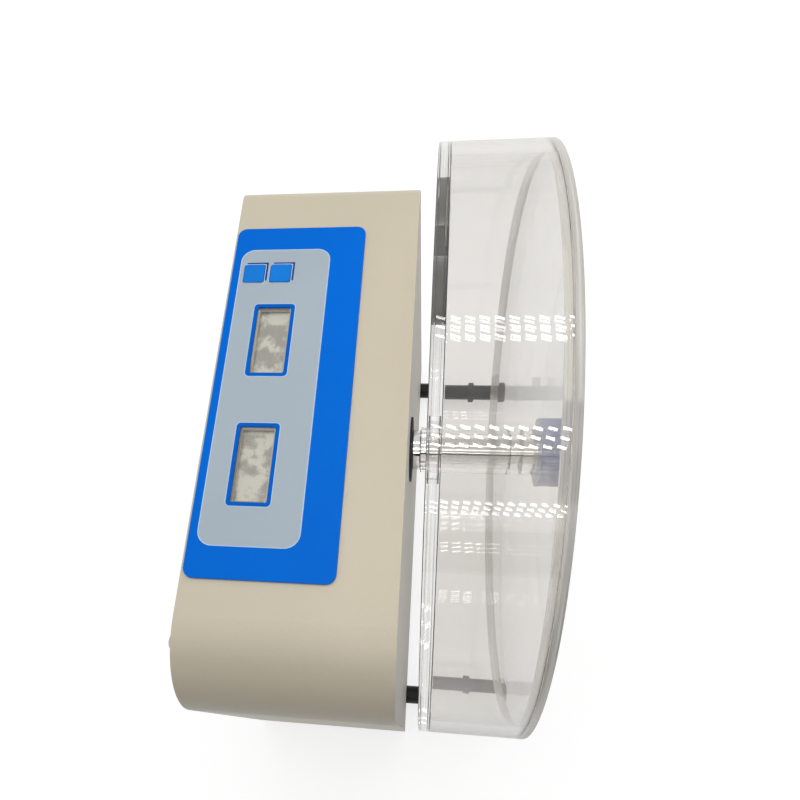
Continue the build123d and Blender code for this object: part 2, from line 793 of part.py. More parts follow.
def make_encoder():
    """The slotted disc on the shaft and the optical sensor that reads it."""
    radius = encoder_diameter / 2
    disc = pipe(radius, journal_radius + running_fit, encoder_y, encoder_y + encoder_sheet,
                shaft_x, axis_height)
    reach = radius - encoder_edge - encoder_slot_length / 2
    slot = Box(encoder_slot_length, encoder_sheet + cut_over, encoder_slot_width)
    for index in range(encoder_slots):
        turn = full_turn * index / encoder_slots
        place = Pos(shaft_x, encoder_y + encoder_sheet / 2, axis_height) * Rot(0, turn, 0)
        disc -= place * Pos(reach, 0, 0) * slot
    hub_end = pulley_y
    disc += pipe(encoder_hub_diameter / 2, journal_radius + running_fit, encoder_y, hub_end,
                 shaft_x, axis_height)
    save("encoder_disc", disc)
    x0 = radius - sensor_overlap
    middle = encoder_y + encoder_sheet / 2
    z0, z1 = axis_height - sensor_height / 2, axis_height + sensor_height / 2
    sensor = block(x0, x0 + sensor_width, middle - sensor_length / 2, middle + sensor_length / 2, z0, z1)
    sensor -= block(x0 - cut_over, x0 + sensor_slot_depth, middle - sensor_slot / 2, middle + sensor_slot / 2,
                    z0 - cut_over, z1 + cut_over)
    save("optical_sensor", sensor)


def make_label():
    """The raised label, with its window and key openings."""
    x0, x1 = label_end - label_length, label_end
    label = plate_z(x0, x1, label_front, label_rear, case_top, case_top + label_sheet, label_corner)
    z0, z1 = case_top - cut_over, case_top + label_sheet + cut_over
    for x in display_xs:
        label -= display_hole(x, 0, z0, z1, display_corner)
    for y in key_ys:
        half_x = key_length / 2 + key_fit
        half_y = key_width / 2 + key_fit
        label -= plate_z(key_x - half_x, key_x + half_x, y - half_y, y + half_y, z0, z1, key_corner)
    save("control_label", label)


def make_displays():
    """The clear windows, the display modules and their glasses."""
    windows, modules, glasses = [], [], []
    for x in display_xs:
        windows.append(display_hole(x, -window_fit, case_top, case_top + window_sheet, display_corner))
        half_x = display_length / 2 + module_margin
        half_y = display_width / 2 + module_margin
        z1 = top_inner - module_gap
        module = block(x - half_x, x + half_x, display_y - half_y, display_y + half_y, board_top, z1)
        pocket_x = display_length / 2 + glass_margin
        pocket_y = display_width / 2 + glass_margin
        module -= block(x - pocket_x, x + pocket_x, display_y - pocket_y, display_y + pocket_y,
                        z1 - glass_sheet, z1 + cut_over)
        modules.append(module)
        glasses.append(block(x - pocket_x + window_fit, x + pocket_x - window_fit,
                             display_y - pocket_y + window_fit, display_y + pocket_y - window_fit,
                             z1 - glass_sheet, z1))
    save("display_windows", *windows)
    save("display_modules", *modules)
    save("display_glasses", *glasses)


def make_keys():
    """The two keys, each a cap with a stem, and the switches below them."""
    switches = []
    for name, y in zip(key_names, key_ys):
        half_x, half_y = key_length / 2, key_width / 2
        base = case_top + key_travel + key_fit
        top = case_top + label_sheet + key_rise
        cap = plate_z(key_x - half_x, key_x + half_x, y - half_y, y + half_y, base, top, key_corner)
        cap = fillet(cap.edges().group_by(Axis.Z)[-1], key_rise / 2)
        stem_end = board_top + tact_size + key_travel + tact_gap
        cap += post(key_stem_diameter / 2, stem_end, base, key_x, y)
        save(name + "_key", cap)
        switches.append(block(key_x - tact_size / 2, key_x + tact_size / 2, y - tact_size / 2,
                              y + tact_size / 2, board_top, board_top + tact_size))
    save("key_switches", *switches)


def board_posts(x0, x1, y0, y1, z0, z1):
    """Four posts near the corners of a board."""
    posts = []
    for x in (x0 + standoff_inset, x1 - standoff_inset):
        for y in (y0 + standoff_inset, y1 - standoff_inset):
            posts.append(post(standoff_diameter / 2, z0, z1, x, y))
    return posts


def make_boards():
    """The display board hung from the roof and the main board on the tray, with their posts."""
    x0 = label_end - label_length + display_board_inset
    x1 = label_end - display_board_inset
    y1 = label_rear - standoff_inset
    y0 = y1 - display_board_width
    save("display_board", block(x0, x1, y0, y1, board_top - board_sheet, board_top))
    posts = board_posts(x0, x1, y0, y1, board_top, top_inner)
    x0 = main_board_margin - case_width / 2
    x1 = x0 + main_board_length
    y0 = case_front + main_board_front_margin
    y1 = case_back - main_board_back_margin
    main_board_width = y1 - y0
    z0 = tray_inner + main_board_height
    z1 = z0 + board_sheet
    save("main_board", block(x0, x1, y0, y1, z0, z1))
    posts += board_posts(x0, x1, y0, y1, tray_inner, z0)
    save("board_posts", *posts)
    half_x = main_board_length * part_length_share / 2
    half_y = main_board_width * part_width_share / 2
    parts = []
    for index, height in enumerate(part_heights):
        x = x0 + main_board_length * (1 + 2 * (index % 2)) / 4
        y = y0 + main_board_width * (1 + 2 * (index // 2)) / 4
        parts.append(block(x - half_x, x + half_x, y - half_y, y + half_y, z1, z1 + height))
    save("main_board_parts", *parts)


def make_transformer():
    """The mains transformer: a laminated core with its winding round the middle leg."""
    x1 = case_width / 2 - core_margin
    x0 = x1 - core_length
    y1 = case_back - core_back_margin
    y0 = y1 - core_stack
    z0 = tray_inner
    z1 = z0 + core_width
    core = block(x0, x1, y0, y1, z0, z1)
    low, high = z0 + coil_window, z1 - coil_window
    middle = (x0 + x1) / 2
    for side in (-1, 1):
        inner = middle + side * core_leg
        outer = middle + side * (core_length / 2 - coil_window)
        core -= block(min(inner, outer), max(inner, outer), y0 - cut_over, y1 + cut_over, low, high)
    save("transformer_core", core)
    reach = core_length / 2 - coil_window - coil_gap
    coil = block(middle - reach, middle + reach, y0 - coil_margin, y1 + coil_margin,
                 low + coil_gap, high - coil_gap)
    hole = core_leg + coil_fit
    coil -= block(middle - hole, middle + hole, y0 - coil_fit, y1 + coil_fit, low, high)
    save("transformer_winding", coil)


def make_inlet():
    """The mains inlet: a flanged housing with a socket cavity and three pins."""
    x, z = inlet_x, fitting_height
    y1 = case_back + inlet_flange
    flange = block(x - inlet_flange_width / 2, x + inlet_flange_width / 2, case_back, y1,
                   z - inlet_flange_height / 2, z + inlet_flange_height / 2)
    flange = fillet(flange.edges().filter_by(Axis.Y), inlet_corner)
    flange += block(x - inlet_body_width / 2, x + inlet_body_width / 2, y1 - inlet_body_depth, y1,
                    z - inlet_body_height / 2, z + inlet_body_height / 2)
    cavity = block(x - inlet_cavity_width / 2, x + inlet_cavity_width / 2, y1 - inlet_cavity_depth,
                   y1 + cut_over, z - inlet_cavity_height / 2, z + inlet_cavity_height / 2)
    floor = y1 - inlet_cavity_depth
    housing = flange - cavity
    pins = []
    for offset, lift in ((-pin_pitch / 2, -pin_drop), (pin_pitch / 2, -pin_drop), (0, earth_rise - pin_drop)):
        pin_x, pin_z = x + offset, z + lift
        pin = block(pin_x - pin_width / 2, pin_x + pin_width / 2, floor - pin_root, floor + pin_length,
                    pin_z - pin_height / 2, pin_z + pin_height / 2)
        housing -= block(pin_x - pin_width / 2 - joint_fit, pin_x + pin_width / 2 + joint_fit,
                         floor - pin_root, floor + cut_over,
                         pin_z - pin_height / 2 - joint_fit, pin_z + pin_height / 2 + joint_fit)
        pins.append(pin)
    save("mains_inlet", housing)
    save("inlet_pins", *pins)


def make_switch():
    """The power switch: a flanged frame and a rocker on a pivot."""
    x, z = switch_x, fitting_height
    y1 = case_back + switch_flange
    frame = block(x - switch_width / 2, x + switch_width / 2, case_back, y1,
                  z - switch_height / 2, z + switch_height / 2)
    body_x = switch_width / 2 - switch_rim
    body_z = switch_height / 2 - switch_rim
    frame += block(x - body_x, x + body_x, y1 - switch_depth, y1, z - body_z, z + body_z)
    hole_x, hole_z = body_x - switch_wall, body_z - switch_wall
    frame -= block(x - hole_x, x + hole_x, y1 - switch_depth + switch_wall, y1 + cut_over,
                   z - hole_z, z + hole_z)
    pivot_y = y1 - rocker_pivot_depth
    pivot_radius = pivot_diameter / 2
    frame += side_bar(pivot_radius, x - hole_x, x + hole_x, pivot_y, z)
    save("power_switch_frame", frame)
    half_x, half_z = hole_x - rocker_gap_x, hole_z - rocker_gap_z
    side = Plane(origin=(x - half_x, pivot_y, z), x_dir=(0, 1, 0), z_dir=(1, 0, 0))
    proud = rocker_pivot_depth + rocker_proud
    waist = proud - half_z * sin(2 * rocker_tilt * pi / 180)
    back = proud - rocker_thickness
    back_z = half_z * rocker_back_share
    outline = Polyline((back, -back_z), (proud, -half_z), (waist, 0), (proud, half_z),
                       (back, back_z), close=True)
    rocker = extrude(side * make_face(outline), 2 * half_x)
    rocker -= side_bar(pivot_radius + pivot_fit, x - hole_x, x + hole_x, pivot_y, z)
    pivot_axis = Axis((x, pivot_y, z), (1, 0, 0))
    save("power_rocker", rocker.rotate(pivot_axis, -rocker_tilt))


def make_fuse():
    """The fuse holder and its screw cap."""
    x, z = fuse_x, fitting_height
    y1 = case_back + fuse_flange
    holder = bar(fuse_flange_diameter / 2, case_back, y1, x, z)
    floor = y1 - fuse_body_depth
    holder += bar(fuse_body_diameter / 2, floor, y1, x, z)
    holder -= bar(fuse_bore / 2 + running_fit, floor + fuse_flange, y1 + cut_over, x, z)
    save("fuse_holder", holder)
    cap = bar(fuse_cap_diameter / 2, y1, y1 + fuse_cap_length, x, z)
    cap += bar(fuse_bore / 2, y1 - fuse_cap_plug, y1, x, z)
    slot_y = y1 + fuse_cap_length
    cap -= block(x - fuse_cap_diameter, x + fuse_cap_diameter, slot_y - fuse_slot_depth, slot_y + cut_over,
                 z - fuse_slot_width / 2, z + fuse_slot_width / 2)
    save("fuse_cap", cap)


make_cover()
make_front_plate()
make_back_plate()
make_tray()
make_feet()
make_back_screws()
make_rods()
make_drum_body()
make_lid()
make_knob()
make_shaft()
make_bearings()
make_housing()
make_belt_drive()
make_motor()
make_encoder()
make_label()
make_displays()
make_keys()
make_boards()
make_transformer()
make_inlet()
make_switch()
make_fuse()

print("drum outside diameter", 2 * drum_radius, "overall front reach", front_reach)
print("case front at y", round(case_front, 3), "case back at y", round(case_back, 3))
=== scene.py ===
"""Looks of a tablet friability tester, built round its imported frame."""

import math

import bmesh
import bpy
from bpy.props import FloatProperty, FloatVectorProperty, IntProperty
from mathutils import Matrix, Vector


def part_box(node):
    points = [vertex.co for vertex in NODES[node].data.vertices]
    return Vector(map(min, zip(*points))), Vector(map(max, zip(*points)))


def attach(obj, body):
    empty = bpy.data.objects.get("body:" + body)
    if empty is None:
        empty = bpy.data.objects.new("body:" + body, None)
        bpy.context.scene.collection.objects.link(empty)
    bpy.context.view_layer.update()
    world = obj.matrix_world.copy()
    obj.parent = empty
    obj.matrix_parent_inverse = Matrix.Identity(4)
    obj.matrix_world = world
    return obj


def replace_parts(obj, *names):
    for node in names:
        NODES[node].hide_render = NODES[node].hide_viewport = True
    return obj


bl_info = {
    "name": "Tablet Friability Tester",
    "version": (1, 0, 0),
    "blender": (4, 5, 0),
    "location": "3D View > Sidebar > Tester",
    "description": "Finishes the case, label, acrylic drum and fittings of a friability tester",
    "category": "Object",
}

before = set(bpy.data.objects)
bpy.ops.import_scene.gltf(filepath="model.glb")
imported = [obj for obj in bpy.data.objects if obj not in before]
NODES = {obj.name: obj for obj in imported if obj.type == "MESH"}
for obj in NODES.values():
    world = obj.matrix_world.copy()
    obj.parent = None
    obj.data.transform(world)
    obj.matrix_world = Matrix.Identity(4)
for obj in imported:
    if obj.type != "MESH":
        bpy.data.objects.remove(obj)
bpy.context.view_layer.update()

AXIS_HEIGHT = 0.152
CASE_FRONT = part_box("front_plate")[0].y
CASE_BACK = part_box("cover_shell")[1].y
CASE_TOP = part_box("cover_shell")[1].z
LABEL_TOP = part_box("control_label")[1].z
GLUE_GAP = 0.00005
KEY_FIT = 0.0003
KEY_CORNER = 0.0013
HAZE_COLOUR = (0.75, 0.725, 0.67)


# Settings


class CaseSettings(bpy.types.PropertyGroup):
    """Paint of the sheet-metal case"""

    cover_colour: FloatVectorProperty(
        name="Cover colour", description="Powder coat of the folded cover",
        default=(0.585, 0.525, 0.405), size=3, subtype="COLOR", min=0, max=1)
    plate_colour: FloatVectorProperty(
        name="Plate colour", description="Paint of the front and back plates",
        default=(0.74, 0.715, 0.68), size=3, subtype="COLOR", min=0, max=1)
    grain: FloatProperty(
        name="Grain", description="Orange-peel cells per metre", default=900, min=100, max=5000)


class DrumSettings(bpy.types.PropertyGroup):
    """Sizes and tint of the acrylic drum"""

    outside_radius: FloatProperty(
        name="Outside radius", description="Radius over the rim", default=0.148, unit="LENGTH")
    wall: FloatProperty(
        name="Rim wall", description="Thickness of the rim", default=0.005, unit="LENGTH")
    hub_radius: FloatProperty(
        name="Hub radius", description="Radius of the clear hub tube", default=0.0125, unit="LENGTH")
    nose_radius: FloatProperty(
        name="Nose radius", description="Radius of the shaft inside the hub tube",
        default=0.0065, unit="LENGTH")
    paddle_radius: FloatProperty(
        name="Paddle radius", description="Inner radius of the curved paddle",
        default=0.0805, unit="LENGTH")
    paddle_sheet: FloatProperty(
        name="Paddle sheet", description="Thickness of the paddle", default=0.004, unit="LENGTH")
    tint: FloatVectorProperty(
        name="Acrylic tint", description="Colour of light passing one face of the thick pieces",
        default=(0.985, 0.980, 0.970), size=3, subtype="COLOR", min=0, max=1)
    wall_tint: FloatVectorProperty(
        name="Wall tint", description="Colour of light passing once through the rim",
        default=(0.872, 0.862, 0.845), size=3, subtype="COLOR", min=0, max=1)
    lid_tint: FloatVectorProperty(
        name="Lid tint", description="Colour of light passing one face of the lid",
        default=(1.0, 0.998, 0.994), size=3, subtype="COLOR", min=0, max=1)
    wall_haze: FloatProperty(
        name="Wall haze", description="How much the rim scatters at a slant", default=0.8, min=0, max=1)
    lid_haze: FloatProperty(
        name="Lid haze", description="How much the lid scatters at a slant", default=0.15, min=0, max=1)
    edge_colour: FloatVectorProperty(
        name="Edge colour", description="Colour of the frosted edges",
        default=(0.50, 0.48, 0.43), size=3, subtype="COLOR", min=0, max=1)
    edge_haze: FloatProperty(
        name="Edge haze", description="How frosted the edges are", default=0.8, min=0, max=1)
    step_haze: FloatProperty(
        name="Step haze", description="How frosted the edge of the lid's step is", default=0.6, min=0, max=1)
    haze_colour: FloatVectorProperty(
        name="Haze colour", description="Colour of the rim's haze and of the lid's step edge",
        default=(0.61, 0.58, 0.52), size=3, subtype="COLOR", min=0, max=1)
    steps: IntProperty(
        name="Steps", description="Facets round the drum", default=192, min=24, max=512)


class LabelSettings(bpy.types.PropertyGroup):
    """Printing of the control label"""

    blue: FloatVectorProperty(
        name="Blue", description="Ground colour of the label",
        default=(0.0, 0.145, 0.675), size=3, subtype="COLOR", min=0, max=1)
    field_colour: FloatVectorProperty(
        name="Field colour", description="Grey-blue field behind the displays",
        default=(0.405, 0.475, 0.53), size=3, subtype="COLOR", min=0, max=1)
    line_colour: FloatVectorProperty(
        name="Line colour", description="Pale outline of the frames",
        default=(0.52, 0.66, 0.85), size=3, subtype="COLOR", min=0, max=1)
    print_height: FloatProperty(
        name="Print height", description="Thickness of one printed layer", default=0.00006, unit="LENGTH")
    frame_width: FloatProperty(
        name="Frame width", description="Width of the blue frames round the displays",
        default=0.0020, unit="LENGTH")


class StageSettings(bpy.types.PropertyGroup):
    """Camera, lamps and floor"""

    focal: FloatProperty(
        name="Focal length", description="Camera lens in millimetres", default=28.64, min=5, max=200)
    shift_x: FloatProperty(name="Shift X", description="Sideways lens shift", default=0.0659)
    shift_y: FloatProperty(name="Shift Y", description="Upright lens shift", default=0.1415)
    ceiling_power: FloatProperty(
        name="Ceiling power", description="Power of the large soft lamp overhead", default=16.9, min=0)
    world_level: FloatProperty(
        name="World level", description="Strength of the even surrounding light", default=0.28, min=0)
    room_level: FloatProperty(
        name="Room level", description="Brightness of the room seen through clear plastic",
        default=0.84, min=0)
    strip_level: FloatProperty(
        name="Strip level", description="Brightness of the louvred strips in reflections", default=18, min=0)


SETTINGS = {
    "tester_case": CaseSettings,
    "tester_drum": DrumSettings,
    "tester_label": LabelSettings,
    "tester_stage": StageSettings,
}


# Mesh helpers


def finish_piece(bm, name, material, body, sharp=20):
    """Turn a bmesh into a smooth-shaded piece that rides on a body."""
    mesh = bpy.data.meshes.new(name)
    bm.to_mesh(mesh)
    bm.free()
    mesh.materials.append(material)
    for face in mesh.polygons:
        face.use_smooth = True
    mesh.set_sharp_from_angle(angle=math.radians(sharp))
    piece = bpy.data.objects.new(name, mesh)
    bpy.context.scene.collection.objects.link(piece)
    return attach(piece, body)


def outline_wire(bm, points, soften=0, segments=2):
    """A closed wire through points, with its corners rounded."""
    corners = [bm.verts.new(point) for point in points]
    for first, second in zip(corners, corners[1:] + corners[:1]):
        bm.edges.new((first, second))
    if soften:
        bmesh.ops.bevel(bm, geom=corners, offset=soften, offset_type="OFFSET", segments=segments,
                        profile=0.5, affect="VERTICES", material=-1)
    return bm


def turned(name, profile, material, body, x=0, z=AXIS_HEIGHT, steps=96, soften=0.0003):
    """A closed profile of (radius, y) pairs, spun round an axis along Y."""
    bm = outline_wire(bmesh.new(), [(x + radius, y, z) for radius, y in profile], soften)
    bmesh.ops.spin(bm, geom=bm.verts[:] + bm.edges[:], cent=(x, 0, z), axis=(0, 1, 0), dvec=(0, 0, 0),
                   angle=math.tau, steps=steps, space=Matrix(), use_merge=True,
                   use_normal_flip=False, use_duplicate=False)
    bmesh.ops.remove_doubles(bm, verts=bm.verts, dist=0.000001)
    bmesh.ops.recalc_face_normals(bm, faces=bm.faces)
    return finish_piece(bm, name, material, body)


def rounded_corners(x0, x1, y0, y1, z, radius, segments=8):
    """The loop of a rectangle with rounded corners, as a list of points."""
    points = []
    for cx, cy, start in ((x1 - radius, y1 - radius, 0), (x0 + radius, y1 - radius, 1),
                          (x0 + radius, y0 + radius, 2), (x1 - radius, y0 + radius, 3)):
        for index in range(segments + 1):
            turn = (start + index / segments) * math.pi / 2
            points.append((cx + radius * math.cos(turn), cy + radius * math.sin(turn), z))
    return points


def printed_layer(name, outer, holes, height, material, body="case"):
    """A thin flat layer with holes, raised by its height."""
    bm = bmesh.new()
    for loop in [outer] + holes:
        outline_wire(bm, loop)
    bmesh.ops.triangle_fill(bm, use_beauty=True, use_dissolve=False, edges=bm.edges[:], normal=(0, 0, 1))
    bmesh.ops.recalc_face_normals(bm, faces=bm.faces)
    raised = bmesh.ops.extrude_face_region(bm, geom=bm.faces[:])
    top = [item for item in raised["geom"] if isinstance(item, bmesh.types.BMVert)]
    bmesh.ops.translate(bm, verts=top, vec=(0, 0, height))
    bmesh.ops.recalc_face_normals(bm, faces=bm.faces)
    return finish_piece(bm, name, material, body)


# Material helpers


def node_shader(name):
    """A new material and its shader node."""
    material = bpy.data.materials.new(name)
    material.use_nodes = True
    return material, material.node_tree.nodes["Principled BSDF"]


def object_noise(material, scale, detail=2, roughness=0.5, stretch=(1, 1, 1)):
    """Noise that is fixed to the object, in cells per metre."""
    nodes, links = material.node_tree.nodes, material.node_tree.links
    place = nodes.new("ShaderNodeTexCoord")
    mapping = nodes.new("ShaderNodeMapping")
    mapping.inputs["Scale"].default_value = stretch
    noise = nodes.new("ShaderNodeTexNoise")
    noise.inputs["Scale"].default_value = scale
    noise.inputs["Detail"].default_value = detail
    noise.inputs["Roughness"].default_value = roughness
    links.new(place.outputs["Object"], mapping.inputs["Vector"])
    links.new(mapping.outputs["Vector"], noise.inputs["Vector"])
    return noise.outputs["Fac"]


def add_bump(material, shader, height, distance, strength=1):
    """Raise the surface by a height signal, distance in metres."""
    nodes, links = material.node_tree.nodes, material.node_tree.links
    bump = nodes.new("ShaderNodeBump")
    bump.inputs["Distance"].default_value = distance
    bump.inputs["Strength"].default_value = strength
    links.new(height, bump.inputs["Height"])
    links.new(bump.outputs["Normal"], shader.inputs["Normal"])


def vary_colour(material, shader, signal, colour, spread, low=0.3, high=0.7):
    """Vary the base colour round a value with a signal."""
    nodes, links = material.node_tree.nodes, material.node_tree.links
    ramp = nodes.new("ShaderNodeValToRGB")
    ramp.color_ramp.elements[0].position = low
    ramp.color_ramp.elements[1].position = high
    ramp.color_ramp.elements[0].color = [max(0, part * (1 - spread)) for part in colour] + [1]
    ramp.color_ramp.elements[1].color = [min(1, part * (1 + spread)) for part in colour] + [1]
    links.new(signal, ramp.inputs["Fac"])
    links.new(ramp.outputs["Color"], shader.inputs["Base Color"])


def vary_roughness(material, shader, signal, low, high):
    """Vary the roughness between two values with a signal."""
    nodes, links = material.node_tree.nodes, material.node_tree.links
    ranger = nodes.new("ShaderNodeMapRange")
    ranger.inputs["From Min"].default_value = 0.3
    ranger.inputs["From Max"].default_value = 0.7
    ranger.inputs["To Min"].default_value = low
    ranger.inputs["To Max"].default_value = high
    links.new(signal, ranger.inputs["Value"])
    links.new(ranger.outputs["Result"], shader.inputs["Roughness"])


def solid_finish(name, colour, rough=(0.35, 0.5), metallic=0, spread=0.05, cells=60, grain=800,
                 relief=0.00003, coat=0, shine=0.5, stretch=(1, 1, 1)):
    """An opaque finish with colour drift, uneven gloss and fine relief."""
    material, shader = node_shader(name)
    shader.inputs["Metallic"].default_value = metallic
    shader.inputs["Coat Weight"].default_value = coat
    shader.inputs["Specular IOR Level"].default_value = shine
    drift = object_noise(material, cells, detail=4)
    fine = object_noise(material, grain, detail=2, stretch=stretch)
    vary_colour(material, shader, drift, colour, spread)
    vary_roughness(material, shader, fine, *rough)
    if relief:
        add_bump(material, shader, fine, relief)
    return material


def ranged(nodes, links, signal, low, high, from_low=0.0, from_high=1.0):
    """A signal mapped from one range to another."""
    ranger = nodes.new("ShaderNodeMapRange")
    ranger.inputs["From Min"].default_value = from_low
    ranger.inputs["From Max"].default_value = from_high
    ranger.inputs["To Min"].default_value = low
    ranger.inputs["To Max"].default_value = high
    links.new(signal, ranger.inputs["Value"])
    return ranger.outputs["Result"]


def math_node(nodes, links, kind, first, second):
    """A Math node of one kind on a signal and a signal or number."""
    step = nodes.new("ShaderNodeMath")
    step.operation = kind
    links.new(first, step.inputs[0])
    if isinstance(second, (int, float)):
        step.inputs[1].default_value = second
    else:
        links.new(second, step.inputs[1])
    return step.outputs["Value"]


def clear_finish(name, tint, roughness=0.0, haze=0, haze_colour=HAZE_COLOUR, streaks=0.3, slant=False):
    """Clear acrylic that lets lamplight pass inside. Haze mixes in a pale surface, all over or at a slant."""
    material, shader = node_shader(name)
    nodes, links = material.node_tree.nodes, material.node_tree.links
    shader.inputs["Transmission Weight"].default_value = 1
    shader.inputs["Roughness"].default_value = roughness
    shader.inputs["IOR"].default_value = 1.49
    scuffs = object_noise(material, 45, detail=6, roughness=0.6)
    vary_colour(material, shader, scuffs, tint, 0.006)
    surface = shader.outputs["BSDF"]
    output = nodes["Material Output"]
    if haze:
        pale = nodes.new("ShaderNodeBsdfPrincipled")
        pale.inputs["Base Color"].default_value = (*haze_colour, 1)
        pale.inputs["Roughness"].default_value = 0.35
        if slant:
            facing = nodes.new("ShaderNodeLayerWeight").outputs["Facing"]
            cover = ranged(nodes, links, math_node(nodes, links, "POWER", facing, 3), 0.015, haze)
        else:
            marks = object_noise(material, 1500, detail=2, stretch=(0.01, 1, 0.01))
            cover = ranged(nodes, links, marks, haze * (1 - streaks), haze * (1 + streaks), 0.3, 0.7)
        blend = nodes.new("ShaderNodeMixShader")
        links.new(cover, blend.inputs["Fac"])
        links.new(surface, blend.inputs[1])
        links.new(pale.outputs["BSDF"], blend.inputs[2])
        surface = blend.outputs["Shader"]
    rays = nodes.new("ShaderNodeLightPath")
    through = nodes.new("ShaderNodeBsdfTransparent")
    through.inputs["Color"].default_value = (*tint, 1)
    shade = nodes.new("ShaderNodeMixShader")
    links.new(rays.outputs["Is Shadow Ray"], shade.inputs["Fac"])
    links.new(surface, shade.inputs[1])
    links.new(through.outputs["BSDF"], shade.inputs[2])
    links.new(shade.outputs["Shader"], output.inputs["Surface"])
    return material


def wall_finish(name, tint, haze, gloss_limit=1.0):
    """Thin clear acrylic: light goes straight through, with more gloss and haze at a slant."""
    material, shader = node_shader(name)
    nodes, links = material.node_tree.nodes, material.node_tree.links
    shader.inputs["Base Color"].default_value = (1, 1, 1, 1)
    shader.inputs["Metallic"].default_value = 1
    shader.inputs["Roughness"].default_value = 0
    through = nodes.new("ShaderNodeBsdfTransparent")
    through.inputs["Color"].default_value = (*tint, 1)
    facing = nodes.new("ShaderNodeLayerWeight").outputs["Facing"]
    steep = math_node(nodes, links, "POWER", facing, 5)
    gloss = nodes.new("ShaderNodeMixShader")
    links.new(ranged(nodes, links, steep, 0.04, gloss_limit), gloss.inputs["Fac"])
    links.new(through.outputs["BSDF"], gloss.inputs[1])
    links.new(shader.outputs["BSDF"], gloss.inputs[2])
    pale = nodes.new("ShaderNodeBsdfDiffuse")
    pale.inputs["Color"].default_value = (*HAZE_COLOUR, 1)
    scuffs = ranged(nodes, links, object_noise(material, 45, detail=6, roughness=0.6), 0.75, 1.25, 0.2, 0.8)
    slant = ranged(nodes, links, math_node(nodes, links, "POWER", facing, 3), *haze)
    blend = nodes.new("ShaderNodeMixShader")
    links.new(math_node(nodes, links, "MULTIPLY", scuffs, slant), blend.inputs["Fac"])
    links.new(gloss.outputs["Shader"], blend.inputs[1])
    links.new(pale.outputs["BSDF"], blend.inputs[2])
    links.new(blend.outputs["Shader"], nodes["Material Output"].inputs["Surface"])
    return material


def frost_edges(piece, material, reach):
    """Give the faces of a turned piece beyond a radius one more finish."""
    piece.data.materials.append(material)
    for face in piece.data.polygons:
        out = math.hypot(face.center.x, face.center.z - AXIS_HEIGHT)
        if out > reach:
            face.material_index = len(piece.data.materials) - 1
    return piece


def dress(material, *names):
    """Give frame nodes a finish."""
    for name in names:
        NODES[name].material_slots[0].material = material


# Operators


class TESTER_OT_paint_case(bpy.types.Operator):
    """Paint the cover and both plates"""

    bl_idname = "tester.paint_case"
    bl_label = "Paint case"

    def execute(self, context):
        look = context.scene.tester_case
        cover, shader = node_shader("beige_powder_coat")
        peel = object_noise(cover, look.grain, detail=1.5, roughness=0.45)
        drift = object_noise(cover, 9, detail=3)
        vary_colour(cover, shader, drift, look.cover_colour, 0.02)
        vary_roughness(cover, shader, peel, 0.34, 0.46)
        add_bump(cover, shader, peel, 0.00012, 0.5)
        dress(cover, "cover_shell")
        plate = solid_finish("warm_grey_paint", look.plate_colour, rough=(0.5, 0.6), spread=0.015,
                             cells=12, grain=500, relief=0.00001, shine=0.15)
        dress(plate, "front_plate", "back_plate")
        return {"FINISHED"}


